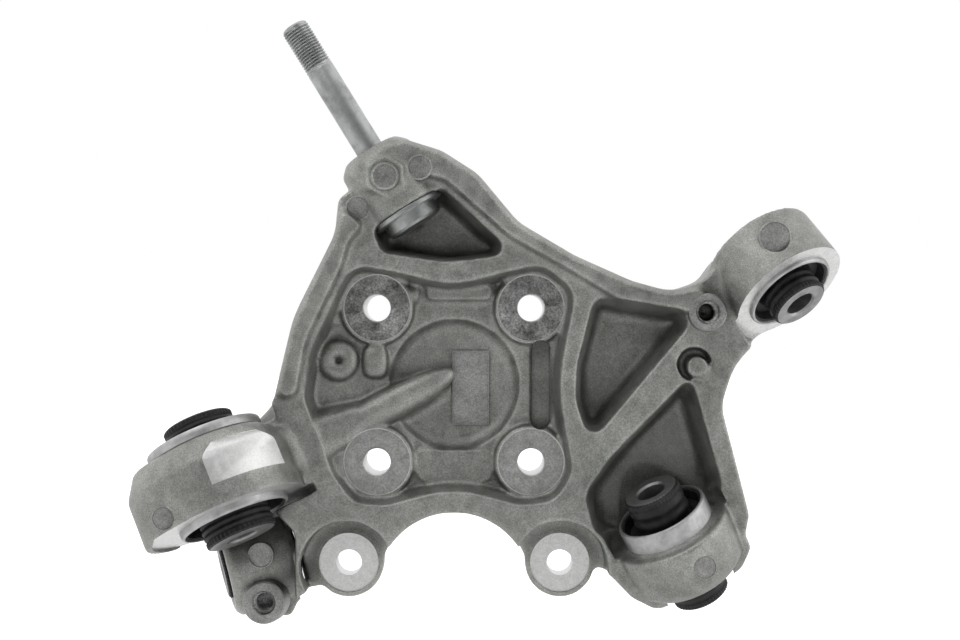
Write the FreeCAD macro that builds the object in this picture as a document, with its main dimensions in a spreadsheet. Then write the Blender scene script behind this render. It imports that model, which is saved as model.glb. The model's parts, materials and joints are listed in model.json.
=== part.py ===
import FreeCAD, Part
import math
import os
from FreeCAD import Placement, Rotation, Vector

# Rear steering knuckle: one aluminium casting with four pressed-in rubber
# bushings and a pressed-in damper stud.
# The hub axis is the Y axis, and the machined hub face lies at y = 0.
# Heights in this file are measured from the hub face towards the inboard
# side, which is the -Y direction. +X and +Z span the hub face, +Z up.

NODE_FOLDER = "parts"

# How far a cut runs past the face it opens through
RUN_OUT = 1.0

# Share of a side that the rounding of one corner may take
CORNER_SHARE = 0.48

# Share of the bowl's flat middle at which its floor is set out
BOWL_MIDDLE_SHARE = 0.55

# Lengths in millimetres, angles in degrees.
SIZES = {
    # Levels of the casting, as heights above the hub face
    "web_back": 4.0,
    "pad_back": 0.0,
    "basin_floor": 23.0,
    "boss_top": 28.0,
    "spot_face": 27.0,
    "land_top": 37.0,
    "rim_top": 42.0,
    "rim_draft": 25.0,
    "wall_draft": 11.0,
    "basin_draft": 14.0,
    "boss_draft": 4.0,
    # Hub mounting
    "bolt_square": 77.0,
    "bolt_hole_radius": 6.75,
    "spot_radius": 17.0,
    "boss_radius": 20.0,
    "hub_pad_radius": 66.0,
    "pilot_radius": 35.0,
    "pilot_depth": 9.0,
    "bowl_radius": 33.0,
    "bowl_mid_radius": 27.0,
    "bowl_depth": 7.0,
    "bowl_middle_sag": 0.3,
    "bowl_bend_rise": 1.0,
    "bowl_wall_inset": 2.0,
    "bowl_wall_rise": 3.4,
    "bowl_lip": 1.5,
    "bowl_clear": 3.0,
    "basin_boss_gap": 2.0,
    # Caliper lugs
    "caliper_spacing": 106.5,
    "caliper_drop": 90.0,
    "lug_radius": 17.5,
    "lug_relief": 23.0,
    "lug_top": 20.0,
    "lug_spot_radius": 15.0,
    "lug_spot_depth": 1.0,
    "caliper_hole_radius": 6.5,
    "arch_radius": 38.5,
    "arch_drop": 101.5,
    # Upper arm eye, top right
    "upper_x": 159.8,
    "upper_z": 57.6,
    "upper_height": 26.0,
    "upper_turn": -57.0,
    "upper_lean": 31.0,
    "upper_radius": 30.0,
    "upper_length": 29.0,
    "upper_bore": 23.0,
    "upper_sleeve_proud": 2.0,
    # Lower arm eye, bottom right
    "lower_x": 113.4,
    "lower_z": -83.3,
    "lower_height": 28.6,
    "lower_turn": 117.3,
    "lower_lean": 16.0,
    "lower_radius": 30.0,
    "lower_length": 28.0,
    "lower_bore": 23.0,
    "lower_sleeve_proud": 11.0,
    "lower_inner_stand": 12.0,
    "lower_round": 6.0,
    # Trailing arm eye, left
    "trail_x": -114.6,
    "trail_z": -46.1,
    "trail_height": 43.0,
    "trail_turn": -65.9,
    "trail_lean": 13.0,
    "trail_radius": 37.0,
    "trail_back_radius": 31.0,
    "trail_back_offset": 14.5,
    "trail_length": 36.0,
    "trail_shoulder": 12.0,
    "trail_shoulder_draft": 30.0,
    "trail_bore": 27.5,
    "trail_collar_radius": 29.3,
    "trail_collar": 4.5,
    "trail_sleeve_proud": 3.5,
    "trail_top_cut": 30.0,
    "trail_top_radius": 37.0,
    "trail_face_cut": 4.5,
    "trail_face_radius": 42.0,
    "trail_flat_depth": 5.8,
    "trail_flat_width": 20.0,
    "trail_flat_length": 46.0,
    "trail_flat_along": -2.0,
    "trail_flat_turn": 28.0,
    "trail_stub_room": 21.0,
    "trail_stub_depth": 14.0,
    # Toe link eye, bottom left
    "toe_x": -101.8,
    "toe_z": -91.6,
    "toe_height": 6.0,
    "toe_turn": 13.8,
    "toe_lean": -14.0,
    "toe_radius": 24.5,
    "toe_length": 32.5,
    "toe_bore": 21.0,
    "toe_sleeve_proud": 3.0,
    "toe_inner_stand": 1.5,
    "toe_slot": 5.0,
    "toe_round": 3.0,
    # Damper stud and its boss
    "stud_x": -23.7,
    "stud_z": 87.8,
    "stud_height": 26.0,
    "stud_turn": 121.7,
    "stud_radius": 7.0,
    "stud_seat_radius": 7.5,
    "stud_seat_length": 35.0,
    "stud_reach": 108.0,
    "stud_boss_radius": 19.5,
    "stud_boss_length": 34.5,
    "stud_boss_round": 5.0,
    "stud_head_clearance": 0.8,
    "stud_flange_radius": 18.8,
    "stud_flange": 2.6,
    "stud_head_radius": 14.5,
    "stud_head": 7.0,
    "stud_chamfer": 1.5,
    # Rib that runs from the trailing arm eye into the bowl
    "rib_root_x": -80.0,
    "rib_root_z": -32.0,
    "rib_root_half": 14.5,
    "rib_root_top": 39.0,
    "rib_tip_x": -3.0,
    "rib_tip_z": 0.5,
    "rib_tip_half": 2.5,
    "rib_tip_top": 19.5,
    "rib_side": 6.0,
    "rib_crown": 9.0,
    "rib_foot_round": 1.0,
    "rib_least_top": 1.0,
    "rib_sink": 2.0,
    "arm_half": 17.0,
    "arm_top": 76.0,
    "arm_root_x": 8.0,
    "arm_root_z": 2.0,
    "arm_overlap_x": 4.0,
    "arm_overlap_z": 1.5,
    "arm_tip_drop": 1.0,
    # Small cast pads and the slot on the basin floor
    "pad_rise": 2.0,
    "upper_pad_rise": 3.0,
    "slot_depth": 2.5,
    "slot_length": 45.0,
    "slot_width": 11.0,
    "slot_x": 43.5,
    # Room behind the eyes for the ends of the bushings
    "eye_room": 32.0,
    "eye_room_margin": 1.0,
    "stub_room": 22.0,
    # Clearance for the toe link beside its eye
    "toe_relief_floor": 24.0,
    # Pockets
    "top_pocket_floor": 7.0,
    "upper_pocket_floor": 13.0,
    "lower_pocket_floor": 10.0,
    "pocket_foot": 3.0,
    "least_round": 2.5,
    "slot_draft": 7.0,
    # Tapped holes
    "tapped_radius": 5.3,
    "tapped_depth": 16.0,
    "toe_tapped_depth": 10.0,
    "tapped_boss_radius": 8.6,
    "upper_tapped_x": 125.1,
    "upper_tapped_z": 36.3,
    "toe_tapped_x": -94.4,
    "toe_tapped_z": -107.9,
    "toe_tapped_top": 34.0,
    "toe_boss_radius": 12.0,
    # Stub pin on the rib between the two right pockets
    "pin_x": 120.3,
    "pin_z": 9.3,
    "pin_radius": 5.3,
    "pin_top": 39.0,
    "pin_groove_radius": 8.3,
    "pin_groove_floor": 30.0,
    "pin_offset": 1.2,
    # Bushings
    "sleeve_wall": 1.8,
    "inner_radius": 11.0,
    "inner_flare": 14.2,
    "inner_flare_length": 3.0,
    "inner_bore": 7.2,
    "inner_stand": 8.0,
    "trail_inner_radius": 15.0,
    "trail_inner_flare": 17.4,
    "trail_inner_bore": 7.2,
    "trail_inner_stand": 9.0,
    "rubber_recess": 1.5,
    "rubber_lip": 1.2,
    "rubber_groove": 5.0,
    "rubber_collar": 0.4,
}

doc = FreeCAD.newDocument("steering_knuckle")
sheet = doc.addObject("Spreadsheet::Sheet", "dims")


def fill_sheet():
    """Write every driving size into the sheet, one named cell a row."""
    for row, (alias, number) in enumerate(SIZES.items(), start=1):
        sheet.set(f"A{row}", alias)
        sheet.set(f"B{row}", str(number))
        sheet.setAlias(f"B{row}", alias)
    doc.recompute()


def size(alias):
    """The number in one named cell."""
    return float(sheet.get(alias))


fill_sheet()


# Frames

def axis_vector(turn, lean):
    """Unit vector turned in the XZ plane and leaned towards -Y."""
    flat = math.cos(math.radians(lean))
    return Vector(
        flat * math.cos(math.radians(turn)),
        -math.sin(math.radians(lean)),
        flat * math.sin(math.radians(turn)),
    )


def axis_frame(name):
    """Placement at a link point with its local Z along the link axis."""
    centre = Vector(size(name + "_x"), -size(name + "_height"), size(name + "_z"))
    lean = size(name + "_lean") if name != "stud" else 0.0
    axis = axis_vector(size(name + "_turn"), lean)
    across = Vector(0, 1, 0).cross(axis).normalize()
    depth = axis.cross(across)
    return Placement(centre, Rotation(across, depth, axis))


def shifted(place, x=0.0, y=0.0, z=0.0):
    """The same frame moved along its own axes."""
    return place.multiply(Placement(Vector(x, y, z), Rotation()))


# Outlines

def corner_arc(before, corner, after, radius):
    """Tangent points and arc that round one corner of an outline."""
    to_before = before.sub(corner)
    to_after = after.sub(corner)
    room = min(to_before.Length, to_after.Length) * CORNER_SHARE
    to_before.normalize()
    to_after.normalize()
    half = to_before.getAngle(to_after) / 2
    radius = min(radius, room * math.tan(half))
    reach = radius / math.tan(half)
    start = corner.add(to_before * reach)
    end = corner.add(to_after * reach)
    bisector = to_before.add(to_after).normalize()
    centre = corner.add(bisector * (radius / math.sin(half)))
    angle_start = math.atan2(start.y - centre.y, start.x - centre.x)
    angle_end = math.atan2(end.y - centre.y, end.x - centre.x)
    if (angle_end - angle_start) % (2 * math.pi) > math.pi:
        angle_start, angle_end = angle_end, angle_start
    circle = Part.Circle(centre, Vector(0, 0, 1), radius)
    return start, end, Part.ArcOfCircle(circle, angle_start, angle_end)


def rounded_outline(corners):
    """Lines and tangent arcs through (x, z, corner radius) corners."""
    points = [Vector(x, z, 0) for x, z, radius in corners]
    arcs = []
    for index, (x, z, radius) in enumerate(corners):
        before = points[index - 1]
        after = points[(index + 1) % len(points)]
        arcs.append(corner_arc(before, points[index], after, radius))
    edges = []
    for index, (start, end, arc) in enumerate(arcs):
        edges.append(Part.LineSegment(arcs[index - 1][1], start))
        edges.append(arc)
    return edges


def moved_corners(corners, distance):
    """The same outline with every side moved inwards by a distance."""
    points = [Vector(x, z, 0) for x, z, radius in corners]
    count = len(points)
    area = sum(points[i - 1].x * points[i].y - points[i].x * points[i - 1].y
               for i in range(count))
    inward = 1.0 if area > 0 else -1.0
    moved = []
    for index, (x, z, radius) in enumerate(corners):
        before = points[index].sub(points[index - 1]).normalize()
        after = points[(index + 1) % count].sub(points[index]).normalize()
        side_before = Vector(-before.y, before.x, 0) * inward
        side_after = Vector(-after.y, after.x, 0) * inward
        bisector = side_before.add(side_after)
        shift = bisector * (distance / (1 + side_before.dot(side_after)))
        bend = before.cross(after).z * inward
        grown = radius - distance if bend > 0 else radius + distance
        moved.append((x + shift.x, z + shift.y, max(grown, size("least_round"))))
    return moved


def circle_outline(x, z, radius):
    return [Part.Circle(Vector(x, z, 0), Vector(0, 0, 1), radius)]


def hull_outline(near, near_radius, far, far_radius):
    """Outline round two circles and the two lines that touch both."""
    along = far.sub(near)
    heading = math.atan2(along.y, along.x)
    spread = math.acos((near_radius - far_radius) / along.Length)
    up = Vector(0, 0, 1)
    low, high = heading - spread, heading + spread
    near_low = near.add(Vector(math.cos(low), math.sin(low), 0) * near_radius)
    near_high = near.add(Vector(math.cos(high), math.sin(high), 0) * near_radius)
    far_low = far.add(Vector(math.cos(low), math.sin(low), 0) * far_radius)
    far_high = far.add(Vector(math.cos(high), math.sin(high), 0) * far_radius)
    return [
        Part.ArcOfCircle(Part.Circle(near, up, near_radius), high, low + 2 * math.pi),
        Part.LineSegment(near_low, far_low),
        Part.ArcOfCircle(Part.Circle(far, up, far_radius), low, high),
        Part.LineSegment(far_high, near_high),
    ]


# Features

def front_sketch(name, edges, level):
    """Sketch parallel to the hub face, at the height a formula gives."""
    sketch = doc.addObject("Sketcher::SketchObject", name)
    sketch.Placement = Placement(Vector(), Rotation(Vector(1, 0, 0), 90))
    sketch.setExpression("Placement.Base.y", f"-({level})")
    sketch.addGeometry(edges, False)
    return sketch


def frame_sketch(name, edges, place):
    """Sketch across the axis of a link point."""
    sketch = doc.addObject("Sketcher::SketchObject", name)
    sketch.Placement = place
    sketch.addGeometry(edges, False)
    return sketch


def prism(name, sketch, length, draft=None, down=False):
    """Straight or drafted solid on a sketch, towards the hub face if down."""
    feature = doc.addObject("Part::Extrusion", name)
    feature.Base = sketch
    feature.DirMode = "Normal"
    feature.Solid = True
    feature.Reversed = down
    feature.setExpression("LengthFwd", length)
    if draft:
        feature.setExpression("TaperAngle", draft)
    return feature


def loft(name, sections):
    """Solid with flat walls between one outline and the next."""
    feature = doc.addObject("Part::Loft", name)
    feature.Sections = sections
    feature.Solid = True
    feature.Ruled = True
    return feature


def drafted(name, corners, wide, narrow, draft):
    """Solid whose walls lean in from one level to another."""
    lean = abs(size(wide) - size(narrow)) * math.tan(math.radians(size(draft)))
    outer = front_sketch(name + "_wide", rounded_outline(corners), "dims." + wide)
    inner = front_sketch(name + "_narrow", rounded_outline(moved_corners(corners, lean)),
                         "dims." + narrow)
    return loft(name, [outer, inner])


def cylinder(name, place, radius, height):
    """Round solid along the local Z of a frame."""
    feature = doc.addObject("Part::Cylinder", name)
    feature.setExpression("Radius", radius)
    feature.setExpression("Height", height)
    feature.Placement = place
    return feature


def fuse(name, parts):
    feature = doc.addObject("Part::MultiFuse", name)
    feature.Shapes = parts
    feature.Refine = False
    return feature


def cut(name, base, tools):
    feature = doc.addObject("Part::Cut", name)
    feature.Base = base
    feature.Tool = fuse(name + "_tools", tools)
    feature.Refine = False
    return feature


def turned_body(name, place, profile):
    """Body of revolution about the local Z of a frame."""
    body = doc.addObject("PartDesign::Body", name)
    body.Label = name
    sketch = body.newObject("Sketcher::SketchObject", name + "_profile")
    plane = [part for part in body.Origin.OriginFeatures if part.Role == "XZ_Plane"]
    sketch.AttachmentSupport = [(plane[0], "")]
    sketch.MapMode = "FlatFace"
    points = [Vector(radius, along, 0) for radius, along in profile]
    for index, point in enumerate(points):
        sketch.addGeometry(Part.LineSegment(points[index - 1], point), False)
    turn = body.newObject("PartDesign::Revolution", name + "_turning")
    turn.Profile = sketch
    turn.ReferenceAxis = (sketch, ["V_Axis"])
    turn.Angle = 360
    body.Placement = place
    return body


# Link points and hole centres

UPPER = axis_frame("upper")
LOWER = axis_frame("lower")
TRAIL = axis_frame("trail")
TOE = axis_frame("toe")
STUD = axis_frame("stud")
BOLT = size("bolt_square") / 2
LUG_X = size("caliper_spacing") / 2
LUG_Z = -size("caliper_drop")


def near_point(name, x, z, radius):
    """Outline corner given from a link point, so that it moves with it."""
    return (size(name + "_x") + x, size(name + "_z") + z, radius)


def near_lug(side, x, z, radius):
    return (side * LUG_X + x, LUG_Z + z, radius)


# Web: the plate that joins the hub, the eyes, the lugs and the stud boss

def web_corners():
    return [
        near_point("stud", -33.8, 4.2, 5),
        near_point("stud", -34.8, -11.8, 30),
        (-BOLT - 41.0, BOLT - 4.5, 60),
        near_point("trail", 25.1, 38.1, 12),
        near_point("trail", 10.6, 24.1, 6),
        near_point("trail", 6.6, -15.9, 8),
        near_point("toe", 5.8, 17.6, 6),
        near_point("toe", 3.8, -22.4, 6),
        near_point("toe", 17.8, -28.4, 4),
        near_lug(-1, -23.7, -13.5, 8),
        near_lug(-1, -10.7, -11.0, 3),
        near_lug(-1, 0.0, 0.0, 2),
        near_lug(1, 0.0, 0.0, 2),
        near_lug(1, 12.7, -3.5, 3),
        near_point("lower", -37.4, -9.2, 8),
        near_point("lower", -25.4, -21.7, 6),
        near_point("lower", -13.4, -27.7, 5),
        near_point("lower", 14.6, -20.7, 10),
        near_point("lower", 29.6, -6.7, 6),
        near_point("lower", 34.1, 3.3, 4),
        near_point("lower", 31.1, 9.3, 4),
        near_point("lower", 33.1, 19.3, 8),
        near_point("upper", -27.2, -67.6, 18),
        near_point("upper", -20.8, -47.6, 30),
        near_point("upper", -8.8, -35.1, 20),
        near_point("upper", 8.2, -25.6, 5),
        near_point("upper", -1.8, -1.6, 5),
        near_point("upper", -24.0, 11.0, 5),
        near_point("upper", -35.8, -5.6, 12),
        near_point("upper", -51.8, -11.1, 22),
        near_point("upper", -71.8, -5.6, 30),
        (BOLT + 21.5, BOLT + 26.0, 30),
        (BOLT - 6.5, BOLT + 42.5, 25),
        near_point("stud", 35.7, 17.2, 20),
        near_point("stud", 17.7, 28.7, 15),
        near_point("stud", -3.3, 35.2, 4),
        near_point("stud", -14.3, 20.2, 4),
    ]


def left_rim_corners():
    return [
        near_point("stud", -33.8, 4.2, 4),
        near_point("stud", -34.8, -11.8, 30),
        (-BOLT - 41.0, BOLT - 4.5, 60),
        near_point("trail", 25.1, 38.1, 6),
        near_point("trail", 38.6, 40.1, 6),
        (-BOLT - 33.0, BOLT - 17.5, 40),
        (-BOLT - 15.0, BOLT + 20.0, 12),
        (-BOLT - 12.0, BOLT + 32.0, 12),
        near_point("stud", -18.3, -8.8, 5),
    ]


def top_rim_corners():
    return [
        near_point("stud", -14.3, 20.2, 4),
        near_point("stud", -3.3, 35.2, 4),
        near_point("stud", 17.7, 28.7, 15),
        near_point("stud", 35.7, 17.2, 20),
        (BOLT - 6.5, BOLT + 42.5, 25),
        (BOLT + 21.5, BOLT + 26.0, 30),
        near_point("upper", -71.8, -5.6, 30),
        near_point("upper", -51.8, -11.1, 22),
        near_point("upper", -35.8, -5.6, 12),
        near_point("upper", -28.8, -24.6, 6),
        near_point("upper", -50.8, -22.6, 20),
        near_point("upper", -76.8, -18.1, 20),
        (BOLT + 15.5, BOLT + 18.5, 20),
        (BOLT - 11.5, BOLT + 33.5, 12),
        near_point("stud", 19.0, 12.2, 4),
    ]


def basin_corners():
    bulge = size("boss_radius") + size("basin_boss_gap")
    return [
        (-BOLT - 8.0, BOLT + bulge, 14),
        (-BOLT + 12.0, BOLT + bulge - 3.5, 16),
        (-1.0, BOLT + 12.0, 70),
        (BOLT - 12.0, BOLT + bulge - 3.0, 16),
        (BOLT + 5.0, BOLT + bulge + 1.0, 14),
        (BOLT + bulge + 1.5, BOLT + 9.0, 14),
        (BOLT + 14.0, 0.0, 90),
        (BOLT + bulge, -BOLT - 5.0, 16),
        (BOLT + 12.0, -BOLT - bulge + 2.0, 14),
        (BOLT - 6.0, -BOLT - bulge, 14),
        (0.0, -BOLT - 13.0, 70),
        (-BOLT + 5.0, -BOLT - bulge, 14),
        (-BOLT - 12.0, -BOLT - bulge + 1.0, 14),
        (-BOLT - 22.5, -BOLT - 6.0, 10),
        (-BOLT - 37.0, -BOLT + 32.0, 12),
        (-BOLT - 34.0, BOLT - 22.0, 40),
        (-BOLT - 16.0, BOLT + 17.0, 20),
    ]


def top_pocket_corners():
    return [
        near_point("stud", -17.0, -10.5, 3),
        near_point("stud", 18.2, 11.0, 3),
        (BOLT - 7.5, BOLT + 26.5, 5),
        (-3.0, BOLT + 22.0, 60),
        near_point("stud", -12.8, -22.3, 6),
    ]


def upper_pocket_corners():
    return [
        (BOLT + 30.5, BOLT + 6.5, 7),
        near_point("upper", -36.8, -21.6, 7),
        (BOLT + 28.5, -BOLT + 7.5, 8),
        (BOLT + 21.0, -BOLT + 30.5, 20),
        (BOLT + 21.5, BOLT - 28.5, 20),
    ]


def lower_pocket_corners():
    return [
        near_point("upper", -41.8, -50.6, 4),
        near_point("lower", -36.4, 48.6, 40),
        near_point("lower", -49.4, 29.8, 12),
        near_point("lower", -44.4, 8.3, 14),
        near_point("lower", -13.4, -1.7, 10),
        near_point("lower", 17.6, 17.3, 8),
        near_point("lower", 20.1, 35.3, 10),
    ]


def pocket_tool(name, corners, floor, draft):
    """Drafted pocket with a steep wall and a bevelled foot round its floor."""
    foot = size("pocket_foot")
    depth = size("rim_top") - size(floor) - foot
    at_foot = moved_corners(corners, depth * math.tan(math.radians(size(draft))))
    at_floor = moved_corners(at_foot, foot)
    return loft(name, [
        front_sketch(name + "_top", rounded_outline(corners), "dims.rim_top"),
        front_sketch(name + "_foot", rounded_outline(at_foot),
                     f"dims.{floor} + dims.pocket_foot"),
        front_sketch(name + "_floor", rounded_outline(at_floor), f"dims.{floor}"),
    ])


def hub_circles(name, radius, level):
    """One sketch with a circle at each of the four hub bolts."""
    edges = []
    for side in (-1, 1):
        for end in (-1, 1):
            edges += circle_outline(side * BOLT, end * BOLT, size(radius))
    return front_sketch(name, edges, level)


def lug_circles(name, radius, level):
    """One sketch with a circle at each of the two caliper lugs."""
    edges = []
    for side in (-1, 1):
        edges += circle_outline(side * LUG_X, LUG_Z, size(radius))
    return front_sketch(name, edges, level)


def bowl_tool():
    """Shallow dish in the middle of the basin, turned about the hub axis."""
    rim, middle = size("bowl_radius"), size("bowl_mid_radius")
    top = size("basin_floor")
    low = top - size("bowl_depth")
    high = top + size("bowl_clear")
    centre = Vector(0, -low, 0)
    floor = Vector(middle * BOWL_MIDDLE_SHARE, -low - size("bowl_middle_sag"), 0)
    bend = Vector(middle, -low - size("bowl_bend_rise"), 0)
    wall = Vector(rim - size("bowl_wall_inset"), -low - size("bowl_wall_rise"), 0)
    edge = Vector(rim, -top, 0)
    lip = Vector(rim + size("bowl_lip"), -high, 0)
    peak = Vector(0, -high, 0)
    sketch = frame_sketch("bowl_profile", [
        Part.Arc(centre, floor, bend),
        Part.Arc(bend, wall, edge),
        Part.LineSegment(edge, lip),
        Part.LineSegment(lip, peak),
        Part.LineSegment(peak, centre),
    ], Placement())
    bowl = doc.addObject("Part::Revolution", "bowl")
    bowl.Source = sketch
    bowl.Axis = Vector(0, 1, 0)
    bowl.Angle = 360
    bowl.Solid = True
    return bowl


def rib_section(name, x, z, heading, half_width, top, low):
    """Upright cross-section of the rib, square to its heading."""
    side = size("rib_side")
    base = half_width + side
    half_top = max(half_width - side / 2, size("rib_least_top"))
    crown = min(size("rib_crown"), half_top)
    foot = size("rib_foot_round")
    corners = [(-base, low, foot), (base, low, foot),
               (half_top, top, crown), (-half_top, top, crown)]
    along = Vector(math.cos(heading), 0, math.sin(heading))
    outward = Vector(0, -1, 0)
    across = outward.cross(along)
    turned = Rotation(across, outward, across.cross(outward))
    return frame_sketch(name, rounded_outline(corners), Placement(Vector(x, 0, z), turned))


def rib_parts():
    """Arm on the side of the trailing arm eye and the rib that leaves it."""
    root_x, root_z = size("rib_root_x"), size("rib_root_z")
    tip_x, tip_z = size("rib_tip_x"), size("rib_tip_z")
    heading = math.atan2(tip_z - root_z, tip_x - root_x)
    low = size("basin_floor") - size("bowl_depth") - size("rib_sink")
    rib = loft("rib", [
        rib_section("rib_root", root_x, root_z, heading, size("rib_root_half"),
                    size("rib_root_top"), low),
        rib_section("rib_tip", tip_x, tip_z, heading, size("rib_tip_half"),
                    size("rib_tip_top"), low),
    ])
    eye_x = size("trail_x") + size("arm_root_x")
    eye_z = size("trail_z") + size("arm_root_z")
    heading = math.atan2(root_z - eye_z, root_x - eye_x)
    arm = loft("trail_arm", [
        rib_section("arm_root", eye_x, eye_z, heading, size("arm_half"),
                    size("arm_top"), low),
        rib_section("arm_tip", root_x + size("arm_overlap_x"),
                    root_z + size("arm_overlap_z"), heading, size("rib_root_half"),
                    size("rib_root_top") - size("arm_tip_drop"), low),
    ])
    return [rib, arm]


def floor_parts():
    """Raised cast pads on the basin floor, below and above the bowl."""
    lower_pad = rounded_outline([
        (-18.0, -BOLT + 6.0, 3), (18.0, -BOLT + 6.0, 3), (21.0, -BOLT - 1.0, 5),
        (17.5, -BOLT - 10.5, 4), (-17.0, -BOLT - 10.5, 4), (-21.0, -BOLT - 1.0, 5),
    ])
    upper_pad = rounded_outline([
        (-15.0, BOLT + 3.0, 4), (20.0, BOLT + 3.0, 4),
        (20.0, BOLT + 12.5, 4), (-15.0, BOLT + 12.5, 4),
    ])
    return [
        prism("lower_pad", front_sketch("lower_pad_outline", lower_pad, "dims.pilot_depth"),
              "dims.basin_floor + dims.pad_rise - dims.pilot_depth"),
        prism("upper_pad", front_sketch("upper_pad_outline", upper_pad, "dims.basin_floor"),
              "dims.upper_pad_rise", "-dims.rim_draft"),
    ]


def slot_tool():
    """Shallow upright slot in the basin floor, right of the bowl."""
    half_width, half_length = size("slot_width") / 2, size("slot_length") / 2
    x = size("slot_x")
    outline = rounded_outline([
        (x - half_width, -half_length, half_width), (x + half_width, -half_length, half_width),
        (x + half_width, half_length, half_width), (x - half_width, half_length, half_width),
    ])
    return prism("floor_slot", front_sketch("floor_slot_outline", outline,
                                            "dims.basin_floor"),
                 "dims.slot_depth", down=True)


def eye_part(name, frame):
    base = shifted(frame, z=-size(name + "_length") / 2)
    return cylinder(name + "_eye", base, f"dims.{name}_radius", f"dims.{name}_length")


def bevelled_eye(name, frame):
    """Eye whose hidden end narrows in a bevel."""
    half, bevel = size(name + "_length") / 2, size(name + "_round")
    end = doc.addObject("Part::Cone", name + "_bevel")
    end.setExpression("Radius1", f"dims.{name}_radius - dims.{name}_round")
    end.setExpression("Radius2", f"dims.{name}_radius")
    end.setExpression("Height", f"dims.{name}_round")
    end.Placement = shifted(frame, z=-half)
    body = cylinder(name + "_eye", shifted(frame, z=bevel - half), f"dims.{name}_radius",
                    f"dims.{name}_length - dims.{name}_round")
    return [body, end]


def eye_bore(name, frame):
    """Bore for the bushing, run out past both faces of the eye."""
    base = shifted(frame, z=-size(name + "_length") / 2 - RUN_OUT)
    return cylinder(name + "_bore", base, f"dims.{name}_bore",
                    f"dims.{name}_length + {2 * RUN_OUT}")


def eye_room(name, frame, side):
    """Clear space outside one face of an eye."""
    start = size(name + "_length") / 2
    if side > 0:
        return cylinder(name + "_room_front", shifted(frame, z=start),
                        f"dims.{name}_radius + dims.eye_room_margin", "dims.eye_room")
    return cylinder(name + "_room_back", shifted(frame, z=-start - size("eye_room")),
                    "dims.stub_room", "dims.eye_room")


def trail_parts():
    """Large eye at the left: egg-shaped section with a sloped shoulder."""
    eye = hull_outline(Vector(0, 0, 0), size("trail_radius"),
                       Vector(size("trail_back_offset"), 0, 0), size("trail_back_radius"))
    shoulder = shifted(TRAIL, z=size("trail_shoulder") - size("trail_length") / 2)
    return [
        prism("trail_eye", frame_sketch("trail_outline", eye, shoulder),
              "dims.trail_length - dims.trail_shoulder"),
        prism("trail_shoulder", frame_sketch("trail_shoulder_outline", eye, shoulder),
              "dims.trail_shoulder", "-dims.trail_shoulder_draft", down=True),
    ]


def trail_tools():
    """Machined end faces and the milled flat of the trailing arm eye."""
    half = size("trail_length") / 2
    top = shifted(TRAIL, z=-half - size("trail_top_cut"))
    flat = doc.addObject("Part::Box", "trail_flat")
    flat.setExpression("Length", "dims.trail_flat_length")
    flat.setExpression("Width", "dims.trail_radius")
    flat.setExpression("Height", "dims.trail_flat_width")
    turned = TRAIL.multiply(Placement(Vector(), Rotation(Vector(0, 0, 1),
                                                         -size("trail_flat_turn"))))
    flat.Placement = shifted(
        turned,
        x=-size("trail_flat_length") / 2,
        y=size("trail_flat_depth") - 2 * size("trail_radius"),
        z=size("trail_flat_along") - size("trail_flat_width") / 2,
    )
    return [
        cylinder("trail_face", shifted(TRAIL, z=half), "dims.trail_face_radius",
                 "dims.trail_face_cut"),
        cylinder("trail_stub_clearance", shifted(TRAIL, z=half), "dims.trail_stub_room",
                 "dims.trail_stub_depth"),
        cylinder("trail_top_face", top, "dims.trail_top_radius", "dims.trail_top_cut"),
        flat,
    ]


def stud_parts():
    dome = doc.addObject("Part::Cone", "stud_boss_dome")
    dome.setExpression("Radius1", "dims.stud_boss_radius")
    dome.setExpression("Radius2", "dims.stud_boss_radius - dims.stud_boss_round")
    dome.setExpression("Height", "dims.stud_boss_round")
    dome.Placement = shifted(STUD, z=size("stud_boss_length") - size("stud_boss_round"))
    return [
        cylinder("stud_boss", STUD, "dims.stud_boss_radius",
                 "dims.stud_boss_length - dims.stud_boss_round"),
        dome,
    ]


def stud_tools():
    """Hole for the stud and the seat for its head."""
    slot = shifted(STUD, z=-size("stud_flange") - size("stud_head")
                   - size("stud_head_clearance"))
    return [
        cylinder("stud_head_slot", slot, "dims.stud_flange_radius + dims.stud_head_clearance",
                 "dims.stud_flange + dims.stud_head + dims.stud_head_clearance"),
        cylinder("stud_hole", shifted(STUD, z=-RUN_OUT), "dims.stud_seat_radius",
                 f"dims.stud_boss_length + {2 * RUN_OUT}"),
    ]


def tapped_boss(name, radius, top, low):
    circle = circle_outline(size(name + "_tapped_x"), size(name + "_tapped_z"), size(radius))
    outline = front_sketch(name + "_boss_outline", circle, "dims." + low)
    return prism(name + "_boss", outline, f"dims.{top} - dims.{low}", "-dims.boss_draft")


def tapped_hole(name, top, depth):
    circle = circle_outline(size(name + "_tapped_x"), size(name + "_tapped_z"),
                            size("tapped_radius"))
    outline = front_sketch(name + "_tapped_outline", circle, f"dims.{top} + {RUN_OUT}")
    return prism(name + "_tapped", outline, f"dims.{depth} + {RUN_OUT}", down=True)


def hub_tools():
    """Spot faces, bolt holes and the blind seat for the hub unit."""
    seat = front_sketch("pilot_outline", circle_outline(0, 0, size("pilot_radius")),
                        f"-{RUN_OUT}")
    return [
        prism("spots", hub_circles("spot_outline", "spot_radius", "dims.spot_face"),
              "dims.boss_top - dims.spot_face + dims.pad_rise"),
        prism("bolt_holes", hub_circles("bolt_hole_outline", "bolt_hole_radius",
                                        f"-{RUN_OUT}"), f"dims.boss_top + {2 * RUN_OUT}"),
        prism("pilot", seat, f"dims.pilot_depth + {RUN_OUT}"),
    ]


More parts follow.
